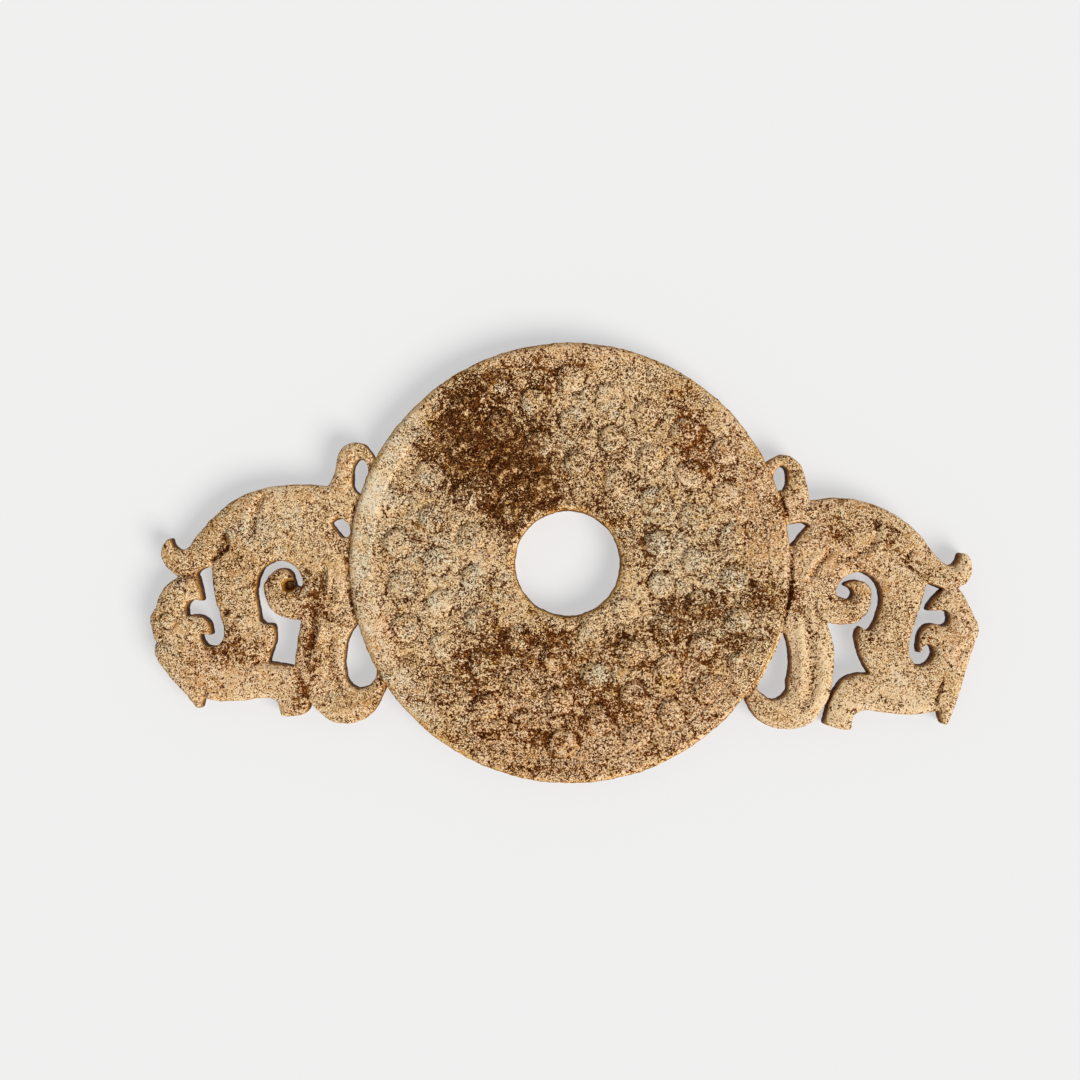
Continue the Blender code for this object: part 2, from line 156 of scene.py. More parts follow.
RAISED_LINES = (
    ([(-41.2, 9.0), (-42.5, 7.2), (-42.9, 5.3), (-43.0, 3.6)], 1.0, 0.10),
    ([(-31.9, -0.2), (-31.7, -1.7), (-31.8, -2.9), (-32.1, -4.2)], 0.7, 0.16),
    ([(-32.6, -7.8), (-32.9, -9.2), (-33.4, -10.6)], 0.8, 0.22),
    ([(-33.6, 3.6), (-31.8, 1.6), (-30.5, -1.1), (-30.5, -4.0), (-31.4, -6.6)], 1.0, 0.12),
    ([(-30.4, -9.8), (-30.4, -12.2), (-29.6, -15.0)], 1.0, 0.12),
    ([(-42.4, -14.3), (-41.0, -14.05), (-39.4, -14.1), (-37.9, -14.6), (-37.0, -15.8), (-36.4, -17.2)], 0.8, 0.14),
    (arc(-53.2, -7.6, 0.55, 0, 360, 12), 0.9, 0.12),
    (spiral(-33.5, 6.6, 2.15, 1.9, 205, -60), 0.5, 0.08),
    ([(41.6, 6.2), (41.4, 3.7), (40.9, 1.9), (39.4, 0.8)], 0.7, 0.14),
    ([(33.1, 1.4), (32.2, 0.3), (31.4, -1.0), (31.0, -2.2)], 0.9, 0.12),
    ([(30.3, -6.4), (30.5, -9.0), (30.7, -12.0), (30.7, -15.0), (30.2, -17.6)], 1.3, 0.16),
    ([(33.0, -9.5), (33.5, -12.0), (33.7, -14.5), (33.2, -17.0), (31.9, -19.4)], 1.2, 0.12),
    ([(52.6, -10.0), (51.2, -11.0), (50.5, -12.2)], 0.7, 0.10),
    (arc(51.8, -8.6, 0.5, 0, 360, 12), 0.8, 0.08),
)

# Pits and chips: place, radius, depth.
PITS = (
    (-37.2, -2.95, 0.95, 2.2),
    (-45.5, -6.5, 0.55, 0.5),
    (35.95, 8.5, 0.55, 0.7),
    (40.05, 7.9, 0.6, 0.5),
    (-42.4, 3.6, 0.4, 0.25),
    (-41.9, -2.6, 0.35, 0.25),
    (24.2, -2.7, 0.7, 0.25),
    (10.9, -6.5, 0.5, 0.18),
)

# Marks on the face: place, two radii, turn in degrees, strength.
SOIL_MARKS = (
    # Disc.
    (0.0, -17.0, 22.0, 10.0, 0, 0.12),
    (-14.4, 20.4, 3.2, 3.4, 0, 0.80),
    (-11.9, 18.2, 5.2, 3.8, 0, 0.85),
    (-11.9, 14.9, 5.6, 3.8, 0, 1.00),
    (-7.2, 12.3, 5.2, 3.8, -20, 1.00),
    (-4.6, 9.4, 4.4, 2.8, -20, 1.00),
    (-8.6, 7.3, 2.8, 3.4, 20, 0.90),
    (-14.2, 10.7, 2.4, 2.6, 0, 0.80),
    (-18.5, 14.9, 2.0, 1.6, 0, 0.50),
    (-8.6, 22.2, 3.4, 2.2, 20, 0.20),
    (-2.0, 26.0, 3.4, 1.3, 0, 0.42),
    (-3.6, 18.2, 2.6, 2.0, 0, 0.42),
    (15.9, 18.9, 2.4, 3.6, 15, 0.38),
    (17.8, 15.6, 2.6, 2.4, 0, 0.42),
    (20.0, 12.4, 2.2, 2.0, 0, 0.30),
    (27.8, 6.8, 1.2, 2.6, 0, 0.42),
    (15.2, -6.1, 4.4, 2.0, 0, 0.40),
    (19.8, -5.4, 2.2, 3.2, 0, 0.32),
    (25.3, -4.9, 2.2, 1.8, 0, 0.62),
    (22.5, -10.2, 2.0, 1.8, 0, 0.50),
    (-3.6, -11.2, 3.6, 2.8, -20, 0.50),
    (-9.2, -10.2, 2.2, 1.8, 0, 0.60),
    (-12.6, -13.2, 3.4, 3.6, 0, 0.36),
    (1.4, -15.5, 2.4, 2.0, 0, 0.28),
    (5.4, -18.8, 3.0, 3.2, 0, 0.34),
    (-6.6, -20.7, 2.2, 1.8, 0, 0.46),
    (0.9, -20.9, 1.8, 1.6, 0, 0.36),
    (-11.9, -17.9, 2.2, 2.2, 0, 0.46),
    (-3.9, -23.4, 2.4, 1.8, 0, 0.40),
    (6.8, -10.6, 2.2, 1.6, 30, 0.48),
    (12.6, -9.2, 2.8, 1.8, 10, 0.45),
    (-24.6, -15.0, 1.4, 2.6, 25, 0.42),
    (-20.8, -17.6, 1.6, 1.6, 0, 0.30),
    (-11.2, 24.2, 4.0, 1.6, 20, 0.50),
    (-3.9, 24.2, 2.0, 2.2, 0, 0.50),
    (-18.5, 20.2, 1.6, 1.6, 0, 0.50),
    (-20.4, 16.9, 1.4, 2.0, 0, 0.45),
    (2.0, 18.2, 2.0, 1.6, 0, 0.42),
    (-4.6, 15.6, 1.8, 1.8, 0, 0.50),
    (5.3, 13.6, 1.3, 1.2, 0, 0.45),
    (17.2, 12.3, 2.4, 1.2, -10, 0.50),
    (8.0, 11.0, 1.2, 1.2, 0, 0.38),
    (11.3, 8.3, 1.4, 1.4, 0, 0.38),
    (4.3, 7.2, 3.6, 1.4, -30, 0.50),
    (10.6, 1.7, 1.4, 3.5, 0, 0.48),
    (-8.0, 4.4, 1.6, 1.3, 0, 0.45),
    (-1.3, -9.5, 2.2, 1.0, -30, 0.50),
    (-13.8, 3.0, 1.2, 1.2, 0, 0.34),
    (-16.2, -16.8, 1.6, 1.4, 0, 0.48),
    (-11.2, -22.7, 2.0, 1.2, -20, 0.40),
    (-5.3, -27.3, 3.2, 1.2, -10, 0.48),
    (1.6, -28.0, 2.6, 1.0, 0, 0.45),
    (13.2, -24.7, 2.6, 1.2, 35, 0.34),
    (18.5, -12.1, 2.0, 2.0, 0, 0.36),
    (21.8, 3.7, 1.3, 1.2, 0, 0.32),
    (26.4, -8.2, 0.9, 3.0, -10, 0.40),
    # Left dragon.
    (-35.0, -3.6, 2.2, 4.0, 0, 0.42),
    (-32.4, -4.9, 2.0, 2.6, 0, 0.55),
    (-30.4, -7.0, 1.6, 2.4, 0, 0.55),
    (-34.4, -11.6, 1.5, 3.8, 10, 0.50),
    (-46.0, -10.4, 2.4, 3.0, -30, 0.55),
    (-42.2, -11.4, 2.6, 1.8, 0, 0.40),
    (-40.6, -2.2, 2.0, 2.4, 0, 0.38),
    (-35.6, -17.6, 1.4, 2.4, 0, 0.50),
    (-45.6, 1.6, 0.8, 1.4, 0, 0.40),
    (-27.9, -4.6, 1.0, 3.2, 0, 0.60),
    (-43.0, 1.0, 2.0, 1.2, 0, 0.35),
    (-24.8, -18.6, 1.4, 1.8, 20, 0.55),
    (-30.2, 4.4, 1.6, 1.0, 0, 0.40),
    # Right dragon.
    (36.5, -4.5, 2.0, 1.8, 0, 0.42),
    (42.7, 3.2, 1.8, 1.6, 30, 0.62),
    (34.8, 4.2, 3.4, 1.8, 20, 0.32),
    (46.8, -9.0, 4.6, 4.0, 0, 0.16),
    (40.2, 5.4, 2.6, 1.2, -30, 0.50),
    (45.4, -0.6, 1.4, 1.6, 0, 0.22),
    (33.2, 7.0, 3.2, 1.5, 0, 0.46),
    (29.9, -4.9, 1.5, 2.6, 0, 0.62),
    (38.6, -0.4, 2.8, 1.2, -15, 0.42),
    (36.4, 3.6, 1.6, 1.4, 0, 0.40),
    (39.9, -9.6, 1.6, 1.4, 0, 0.30),
    (29.2, 11.2, 1.0, 2.6, 0, 0.40),
)

PALE_MARKS = (
    (9.4, -4.6, 3.2, 1.6, 35, 0.55),
    (-31.0, -15.0, 3.6, 6.5, 0, 0.50),
    (32.6, -13.0, 3.2, 7.0, 0, 0.50),
    (37.5, -18.2, 4.0, 2.6, 0, 0.65),
    (44.0, -17.4, 5.0, 1.8, 0, 0.40),
    (-22.4, 15.5, 4.0, 3.6, 0, 0.60),
    (-25.4, 8.0, 2.6, 6.0, 0, 0.70),
    (-27.6, -2.6, 1.4, 11.0, 0, 0.75),
    (4.2, 21.5, 5.4, 3.2, 0, 0.60),
    (-12.6, 1.0, 3.8, 5.6, 0, 0.55),
    (-17.6, -5.2, 3.4, 3.0, 0, 0.35),
    (-19.8, -10.2, 2.6, 2.2, 0, 0.55),
    (5.4, -7.2, 3.8, 1.7, 22, 0.75),
    (12.6, 2.6, 3.4, 4.2, 0, 0.40),
    (14.6, -0.6, 2.4, 1.8, 0, 0.45),
    (22.5, 6.4, 2.8, 6.4, 0, 0.42),
    (22.6, -18.0, 2.6, 2.6, 0, 0.42),
    (25.2, -8.0, 1.8, 1.8, 0, 0.45),
    (4.4, -14.6, 1.5, 1.2, 0, 0.90),
    (-28.6, 12.0, 3.0, 4.0, 0, 0.35),
    (-41.8, 5.4, 1.2, 3.4, 0, 0.45),
    (-38.6, 7.4, 6.0, 3.4, 10, 0.55),
    (-43.2, -17.6, 4.0, 1.6, 0, 0.40),
    (-31.0, -20.0, 4.0, 1.8, 0, 0.40),
    (38.0, -18.4, 5.6, 2.8, 5, 0.85),
    (30.3, -13.2, 2.2, 6.4, 0, 0.85),
    (33.0, -20.2, 4.6, 2.0, 0, 0.70),
    (47.0, -17.6, 4.0, 2.0, 0, 0.60),
    (51.4, 0.4, 3.0, 2.2, 0, 0.50),
    (51.6, -12.0, 2.4, 6.0, 0, 0.50),
    # A pale worn line along the right edge of the disc, which is also a painted highlight where that edge faces the
    # key.
    (28.9, 0.0, 0.8, 8.0, 0, 0.60),
    (27.0, 10.4, 0.8, 5.0, 21, 0.60),
    (27.0, -10.4, 0.8, 5.0, -21, 0.50),
    (19.6, 21.3, 0.8, 6.0, 47, 0.50),
    (44.4, -2.6, 2.6, 3.0, 0, 0.35),
)

COOL_MARKS = (
    (-19.0, 1.6, 7.0, 8.0, 0, 0.75),
    (-12.0, -4.0, 5.0, 5.0, 0, 0.45),
    (13.6, 3.6, 6.0, 8.0, 0, 0.75),
    (19.0, -3.4, 6.0, 5.0, 0, 0.60),
    (3.0, 21.0, 5.0, 4.0, 0, 0.55),
    (4.6, -14.6, 2.6, 2.0, 0, 1.00),
    (-40.4, 5.6, 7.0, 4.2, 15, 0.75),
    (-36.0, -1.0, 4.0, 3.0, 0, 0.45),
    (-52.4, -5.4, 3.4, 3.8, 0, 0.60),
    (-52.6, -13.0, 3.0, 4.0, 35, 0.45),
    (-43.6, -5.0, 1.6, 4.0, 0, 0.40),
    (36.0, 5.4, 4.0, 2.4, 0, 0.30),
    (42.0, -14.0, 5.0, 1.6, 0, 0.35),
    (34.6, -11.0, 1.6, 6.0, 0, 0.35),
)

RUDDY_MARKS = (
    (-45.0, -14.0, 8.0, 5.0, 0, 0.45),
    (-4.0, 27.5, 13.0, 2.6, 0, 0.70),
    (19.8, 14.3, 9.0, 7.0, -45, 0.75),
    (25.8, 4.4, 4.0, 9.0, 0, 0.70),
    (2.7, -24.0, 21.0, 6.0, 0, 0.90),
    (-24.4, -10.2, 4.0, 7.5, 20, 0.60),
    (-1.3, -15.5, 16.0, 6.0, 0, 0.55),
    (17.2, -18.1, 8.0, 7.0, 30, 0.70),
    (-35.0, -12.0, 4.0, 6.0, 0, 0.35),
    (-41.0, 7.6, 3.4, 1.6, 10, 0.75),
    (-49.6, -13.4, 1.4, 4.6, 25, 0.60),
    (-30.0, 13.0, 2.0, 2.0, 0, 0.50),
    (51.4, -8.0, 2.6, 7.0, 0, 0.60),
    (33.0, 3.0, 6.0, 7.0, 0, 0.45),
    (38.0, -3.0, 7.0, 5.0, 0, 0.40),
)


# ---------------------------------------------------------------------------------------------------
# Node trees written as Python expressions


class Wire:
    """A socket that carries a value: arithmetic on it adds Math nodes to its tree."""

    def __init__(self, tree, socket):
        self.tree = tree
        self.socket = socket

    def math(self, operation, *others):
        return self.tree.node("ShaderNodeMath", {"operation": operation}, [self, *others]).out()

    def __add__(self, other):
        return self.math("ADD", other)

    def __sub__(self, other):
        return self.math("SUBTRACT", other)

    def __rsub__(self, other):
        return self.tree.node("ShaderNodeMath", {"operation": "SUBTRACT"}, [other, self]).out()

    def __mul__(self, other):
        return self.math("MULTIPLY", other)

    def __truediv__(self, other):
        return self.math("DIVIDE", other)

    def __pow__(self, other):
        return self.math("POWER", other)

    def __gt__(self, other):
        return self.math("GREATER_THAN", other)

    def __lt__(self, other):
        return self.math("LESS_THAN", other)

    __radd__ = __add__
    __rmul__ = __mul__

    def low(self, other):
        return self.math("MINIMUM", other)

    def high(self, other):
        return self.math("MAXIMUM", other)

    def rise(self, start, end):
        """0 before start, 1 after end and smooth between; start may be the larger."""
        inputs = {"Value": self, "From Min": start, "From Max": end}
        return self.tree.node("ShaderNodeMapRange", {"interpolation_type": "SMOOTHSTEP"}, inputs).out()

    def toward(self, other, share):
        """This value turned into another by a share from 0 to 1."""
        return self.tree.node("ShaderNodeMix", {"data_type": "FLOAT"}, {0: share, 2: self, 3: other}).out()


class Made:
    """A node that has been added: its outputs by name or number."""

    def __init__(self, tree, node):
        self.tree = tree
        self.node = node

    def out(self, key=0):
        if isinstance(key, int):
            key = [s.name for s in self.node.outputs if s.enabled][key]
        return Wire(self.tree, next(s for s in self.node.outputs if s.enabled and s.name == key))


class Tree:
    """Adds nodes to a node tree by type, settings and inputs."""

    def __init__(self, tree):
        self.tree = tree

    def node(self, kind, settings=None, inputs=None):
        node = self.tree.nodes.new(kind)
        for key, value in (settings or {}).items():
            if key == "stops":
                ramp = node.color_ramp
                while len(ramp.elements) < len(value):
                    ramp.elements.new(1.0)
                for element, (position, colour) in zip(ramp.elements, value):
                    element.position = position
                    element.color = (*colour, 1.0)
            else:
                setattr(node, key, value)
        pairs = enumerate(inputs) if isinstance(inputs, (list, tuple)) else (inputs or {}).items()
        for key, value in pairs:
            if isinstance(key, str):
                socket = next(s for s in node.inputs if s.enabled and s.name == key)
            else:
                socket = node.inputs[key]
            if isinstance(value, Wire):
                self.tree.links.new(value.socket, socket)
            elif value is not None:
                socket.default_value = value
        return Made(self, node)

    def vector(self, operation, *inputs):
        return self.node("ShaderNodeVectorMath", {"operation": operation}, list(inputs)).out()

    def scaled(self, vector, factor):
        return self.node("ShaderNodeVectorMath", {"operation": "SCALE"}, {"Vector": vector, "Scale": factor}).out()

    def split(self, vector):
        parts = self.node("ShaderNodeSeparateXYZ", None, [vector])
        return [parts.out(i) for i in range(3)]

    def join(self, x, y, z):
        return self.node("ShaderNodeCombineXYZ", None, [x, y, z]).out()

    def noise(self, place, scale, detail, roughness, seed):
        """Noise around 0, from about -0.5 to 0.5; each seed is another part of the pattern."""
        moved = self.vector("ADD", place, (seed * 17.31, seed * -9.73, seed * 5.39))
        inputs = {"Vector": moved, "Scale": scale, "Detail": detail, "Roughness": roughness}
        return self.node("ShaderNodeTexNoise", {"normalize": True}, inputs).out() - 0.5

    def cells(self, place, scale):
        """Two chance values from -0.5 to 0.5 that are even over each grain of a pattern."""
        colour = self.node("ShaderNodeTexVoronoi", {"feature": "F1"}, {"Vector": place, "Scale": scale}).out("Color")
        return [value - 0.5 for value in self.split(colour)[:2]]


def display(red, green, blue):
    """A display colour, 0 to 255, as the linear colour that the shader takes."""
    return tuple(
        c / 255 / 12.92 if c / 255 <= 0.04045 else ((c / 255 + 0.055) / 1.055) ** 2.4 for c in (red, green, blue)
    )


# ---------------------------------------------------------------------------------------------------
# Settings


class PlaqueCarvingSettings(bpy.types.PropertyGroup):
    """Sizes of the grain pattern and of the wear on the edges."""

    grain_pitch: bpy.props.FloatProperty(
        name="Grain Pitch", description="Distance between two bosses", default=5.65 * MM, unit="LENGTH", precision=5
    )
    grain_turn: bpy.props.FloatProperty(
        name="Grain Turn", description="Turn of the rows of bosses", default=math.radians(34.7), subtype="ANGLE"
    )
    boss_radius: bpy.props.FloatProperty(
        name="Boss Radius", description="Radius of one boss", default=1.95 * MM, unit="LENGTH", precision=5
    )
    boss_height: bpy.props.FloatProperty(
        name="Boss Height", description="Height of one boss", default=0.46 * MM, unit="LENGTH", precision=5
    )
    ring_pitch: bpy.props.FloatProperty(
        name="Ring Pitch",
        description="Distance between two turns of the spiral line on a boss",
        default=0.72 * MM,
        unit="LENGTH",
        precision=5,
    )
    ring_depth: bpy.props.FloatProperty(
        name="Ring Depth", description="Depth of the spiral line", default=0.13 * MM, unit="LENGTH", precision=5
    )
    edge_width: bpy.props.FloatProperty(
        name="Edge Width", description="How far in the edges are worn", default=1.5 * MM, unit="LENGTH", precision=5
    )
    edge_drop: bpy.props.FloatProperty(
        name="Edge Drop", description="How far the edges are worn down", default=0.30 * MM, unit="LENGTH", precision=5
    )
    outline_wander: bpy.props.FloatProperty(
        name="Outline Wander",
        description="How far the outline strays from its line",
        default=0.09 * MM,
        unit="LENGTH",
        precision=5,
    )
    grid: bpy.props.FloatProperty(
        name="Carving Grid",
        description="Spacing of the surface that is carved",
        default=0.17 * MM,
        unit="LENGTH",
        precision=5,
    )
    triangles: bpy.props.IntProperty(
        name="Triangles", description="Triangles in the finished stone", default=192000, min=2000
    )


class PlaqueStoneSettings(bpy.types.PropertyGroup):
    """Tone and finish of the altered jade."""

    paleness: bpy.props.FloatProperty(
        name="Paleness", description="Tone of the bare stone", default=0.79, min=0.0, max=1.0, subtype="FACTOR"
    )
    staining: bpy.props.FloatProperty(
        name="Staining", description="How much soil the stains hold", default=0.84, min=0.0, max=2.0
    )
    coarseness: bpy.props.FloatProperty(
        name="Coarseness", description="Strength of the fine pores", default=1.06, min=0.0, max=2.0
    )
    roughness: bpy.props.FloatProperty(
        name="Roughness", description="Roughness of the worn polish", default=0.58, min=0.0, max=1.0, subtype="FACTOR"
    )


class PlaqueStageSettings(bpy.types.PropertyGroup):
    """Floor, light and camera."""

    floor_colour: bpy.props.FloatVectorProperty(
        name="Floor Colour", description="Colour of the floor", subtype="COLOR", size=3, default=(0.413, 0.403, 0.395)
    )
    floor_glow: bpy.props.FloatVectorProperty(
        name="Floor Glow",
        description="Light that the floor gives off, as a lit sweep does",
        subtype="COLOR",
        size=3,
        default=(0.480, 0.489, 0.497),
    )
    key_strength: bpy.props.FloatProperty(name="Key Light", description="Strength of the key", default=2.7, min=0.0)
    key_turn: bpy.props.FloatProperty(
        name="Key Turn", description="Where the key stands, from +X", default=math.radians(-42), subtype="ANGLE"
    )
    key_climb: bpy.props.FloatProperty(
        name="Key Climb", description="Height of the key", default=math.radians(46), subtype="ANGLE"
    )
    key_softness: bpy.props.FloatProperty(
        name="Key Softness", description="How wide the key looks", default=math.radians(36), subtype="ANGLE"
    )
    fill: bpy.props.FloatProperty(name="Fill", description="Strength of the light all round", default=0.34, min=0.0)
    camera_distance: bpy.props.FloatProperty(
        name="Camera Distance", description="Camera above the face", default=0.255, unit="LENGTH"
    )
    field_width: bpy.props.FloatProperty(
        name="Field Width", description="Width of the view at the face", default=0.14263, unit="LENGTH"
    )


# ---------------------------------------------------------------------------------------------------
# The stone's shape


def line_object(name, lines):
    """A mesh of fine steps along the lines, each point with the width and depth of its line."""
    points, edges, widths, depths = [], [], [], []
    for path, width, depth in lines:
        path = np.array(path, float)
        steps = np.hypot(*np.diff(path, axis=0).T)
        along = np.concatenate([[0.0], np.cumsum(steps)])
        length = along[-1]
        closed = np.hypot(*(path[0] - path[-1])) < CLOSED_GAP
        count = max(4, int(length / LINE_STEP))
        for i in range(count + 1):
            s = length * i / count
            # A Catmull-Rom curve through the points.
            k = min(int(np.searchsorted(along, s, side="right")) - 1, len(path) - 2)
            t = (s - along[k]) / steps[k]
            a, b = path[k], path[k + 1]
            before = path[k - 1] if k else 2 * a - b
            after = path[k + 2] if k + 2 < len(path) else 2 * b - a
            place = 0.5 * (
                2 * a
                + (b - before) * t
                + (2 * before - 5 * a + 4 * b - after) * t**2
                + (3 * a - before - 3 * b + after) * t**3
            )
            fade = 1.0 if closed else min(1.0, (min(s, length - s) + FADE_START) / FADE_LENGTH) ** 0.7
            if i:
                edges.append((len(points) - 1, len(points)))
            points.append(((place[0] + AXIS_X) * MM, (place[1] + AXIS_Y) * MM, 0.0))
            widths.append(width * (0.6 + 0.4 * fade))
            depths.append(depth * fade)
    mesh = bpy.data.meshes.new(name)
    mesh.from_pydata(points, edges, [])
    for key, values in (("line_width", widths), ("line_depth", depths)):
        mesh.attributes.new(key, "FLOAT", "POINT").data.foreach_set("value", values)
    return linked(bpy.data.objects.new(name, mesh))


def linked(thing):
    bpy.context.scene.collection.objects.link(thing)
    return thing


def merged_solid():
    """A copy of the CAD solid with its loose triangles joined."""
    mesh = frame["nodes"]["jade_plaque"].data.copy()
    mesh.materials.clear()
    work = bmesh.new()
    work.from_mesh(mesh)
    bmesh.ops.remove_doubles(work, verts=work.verts, dist=1e-6)
    work.to_mesh(mesh)
    work.free()
    for polygon in mesh.polygons:
        polygon.use_smooth = True
    return mesh


def wall_object(solid):
    """The upright faces of the solid that reach below its middle: the outline and the openings."""
    work = bmesh.new()
    work.from_mesh(solid)
    highest_foot = 2 * MM
    away = [f for f in work.faces if abs(f.normal.z) > 0.5 or min(v.co.z for v in f.verts) > highest_foot]
    bmesh.ops.delete(work, geom=away, context="FACES")
    mesh = bpy.data.meshes.new("outline_walls")
    work.to_mesh(mesh)
    work.free()
    return linked(bpy.data.objects.new("outline_walls", mesh))


# The sizes that the carving takes, in millimetres; each is a setting of the same name.
CARVED_SIZES = (
    "Grain Pitch",
    "Boss Radius",
    "Boss Height",
    "Ring Pitch",
    "Ring Depth",
    "Edge Width",
    "Edge Drop",
    "Outline Wander",
)


def carving_tree():
    """The node tree that carves the grain, the lines and the wear into the remeshed solid."""
    group = bpy.data.node_groups.new("plaque_carving", "GeometryNodeTree")
    sockets = {}
    for name, kind in (
        ("Stone", "Geometry"),
        *((name, "Object") for name in ("Walls", "Carved Lines", "Raised Lines", "Pits")),
        *((name, "Float") for name in ("Grain Turn", *CARVED_SIZES)),
        ("Material", "Material"),
    ):
        socket = group.interface.new_socket(name, in_out="INPUT", socket_type="NodeSocket" + kind)
        sockets[name] = socket.identifier
    group.interface.new_socket("Stone", in_out="OUTPUT", socket_type="NodeSocketGeometry")
    t = Tree(group)
    given = t.node("NodeGroupInput")

    def distance(across, up):
        return (across * across + up * up) ** 0.5

    place = t.scaled(t.node("GeometryNodeInputPosition").out(), 1 / MM)
    place_x, place_y, z = t.split(place)
    x, y = place_x - AXIS_X, place_y - AXIS_Y
    radius = distance(x, y)
    from_hole = distance(place_x - HOLE_X, place_y - HOLE_Y)

    def thing(name):
        info = t.node("GeometryNodeObjectInfo", {"transform_space": "ORIGINAL"}, {"Object": given.out(name)})
        return info.out("Geometry")

    def away_from(geometry, element, height):
        """Distance in mm to a geometry, from a point at one height."""
        inputs = {"Geometry": geometry, "Sample Position": t.scaled(t.join(place_x, place_y, height), MM)}
        return t.node("GeometryNodeProximity", {"target_element": element}, inputs).out("Distance") / MM

    def of_nearest(geometry, name):
        """A named value of the nearest point of a geometry."""
        inputs = {"Geometry": geometry, "Sample Position": t.scaled(t.join(place_x, place_y, 0.0), MM)}
        index = t.node("GeometryNodeSampleNearest", {"domain": "POINT"}, inputs)
        value = t.node("GeometryNodeInputNamedAttribute", {"data_type": "FLOAT"}, {"Name": name}).out("Attribute")
        inputs = {"Geometry": geometry, "Value": value, "Index": index.out()}
        return t.node("GeometryNodeSampleIndex", {"data_type": "FLOAT", "domain": "POINT"}, inputs).out()

    from_wall = away_from(thing("Walls"), "FACES", MIDDLE)
    on_dragon = radius.rise(DISC_RADIUS - 0.05, DISC_RADIUS + 0.25)
    inside = from_wall.rise(0.05, 0.35)
    upper = z.rise(MIDDLE, DRAGON_HEIGHT)
    lower = z.rise(2.0, 0.3)

    # The dragons' tops are made level, then the lines are cut in afresh.
    level = on_dragon * inside * z.rise(3.75, 3.98)
    flat_z = z.toward(DRAGON_HEIGHT, level)

    grooves, ridges, pits = thing("Carved Lines"), thing("Raised Lines"), thing("Pits")
    groove_width = of_nearest(grooves, "line_width")
    groove_depth = of_nearest(grooves, "line_depth")
    groove = away_from(grooves, "EDGES", 0.0).rise(groove_width * 0.62, groove_width * 0.02)
    ridge_width = of_nearest(ridges, "line_width")
    ridge_depth = of_nearest(ridges, "line_depth")
    ridge = away_from(ridges, "EDGES", 0.0).rise(ridge_width * 0.8, 0.0)
    pit_width = of_nearest(pits, "line_width")
    pit_depth = of_nearest(pits, "line_depth")
    pit = away_from(pits, "POINTS", 0.0).rise(pit_width * 1.15, pit_width * 0.45)

    # A narrow channel where each dragon meets the disc.
    seam = (radius - (DISC_RADIUS + 0.28)).math("ABSOLUTE").rise(0.42, 0.05) * z.rise(3.9, 4.1)

    # The grain pattern: the nearest point of its lattice, and the boss that stands on it.
    turn, pitch = given.out("Grain Turn"), given.out("Grain Pitch")
    cosine, sine = turn.math("COSINE"), turn.math("SINE")
    start_x = x - GRAIN_START[0] + t.noise(place, 0.5, 2.0, 0.5, 17) * 0.7
    start_y = y - GRAIN_START[1] + t.noise(place, 0.5, 2.0, 0.5, 18) * 0.7
    along = start_x * cosine + start_y * sine
    across = start_y * cosine - start_x * sine
    row = (across / (pitch * ROW_STEP)).math("ROUND")
    column = (along / pitch - row * 0.5).math("ROUND")
    centre_along = pitch * (column + row * 0.5)
    centre_across = pitch * row * ROW_STEP
    boss_x, boss_y = along - centre_along, across - centre_across
    from_boss = distance(boss_x, boss_y)
    centre_x = centre_along * cosine - centre_across * sine + GRAIN_START[0]
    centre_y = centre_along * sine + centre_across * cosine + GRAIN_START[1]
    centre_from_hole = distance(centre_x - HOLE_OFFSET[0], centre_y - HOLE_OFFSET[1])
    there = (distance(centre_x, centre_y) < GRAIN_REACH) * (centre_from_hole > GRAIN_CLEARANCE)
    chance = t.node("ShaderNodeTexWhiteNoise", None, {"Vector": t.join(column, row, 3.0)})
    chance_a, chance_b, chance_c = t.split(chance.out("Color"))
    boss_radius = given.out("Boss Radius") * (0.93 + 0.13 * chance_a)
    share = (from_boss / boss_radius).low(1.0)
    dome = 1.0 - share**4.0
    angle = boss_y.math("ARCTAN2", boss_x) / (2 * math.pi)
    ring_pitch = given.out("Ring Pitch")
    turns = from_boss / ring_pitch - angle + chance_b
    ring = ((turns + 0.5).math("FRACT") - 0.5).math("ABSOLUTE") * ring_pitch
    ring_cut = ring.rise(0.24, 0.04) * share.rise(0.12, 0.3) * share.rise(1.0, 0.86)
    moat = (from_boss - boss_radius - 0.12).math("ABSOLUTE").rise(0.5, 0.0)
    worn = t.noise(place, 0.16, 2.0, 0.5, 4)
    boss_height = given.out("Boss Height") * (0.72 + 0.4 * chance_c + 1.6 * worn).high(0.35)
    clear = (1.5 * chance_a - 0.75 + 1.5 * t.noise(place, 0.22, 1.0, 0.5, 5)).high(0.08)
    grain = there * (dome * boss_height - ring_cut * given.out("Ring Depth") * clear - moat * 0.13)
    grain = grain - there * share.rise(0.34, 0.0) * 0.07
    swell = t.noise(place, 0.22, 2.0, 0.5, 6) * 0.16 + t.noise(place, 0.9, 2.0, 0.55, 7) * 0.09
    pitted = t.noise(place, 2.2, 2.0, 0.6, 8) * 0.07
    lip_radius = HOLE_RADIUS + HOLE_LIP
    past_lip = from_hole.rise(lip_radius - 0.05, lip_radius + 0.35)
    on_field = radius.rise(FIELD_RADIUS + 0.22, FIELD_RADIUS - 0.25) * past_lip * (z > FACE_START)
    # The step up to the rim is clearest on the left.
    filled = radius.rise(FIELD_RADIUS - 4.0, FIELD_RADIUS) * x.rise(-22.0, -6.0) * 0.2
    field_z = FIELD_HEIGHT + grain + filled
    carved_z = flat_z.toward(field_z, on_field)

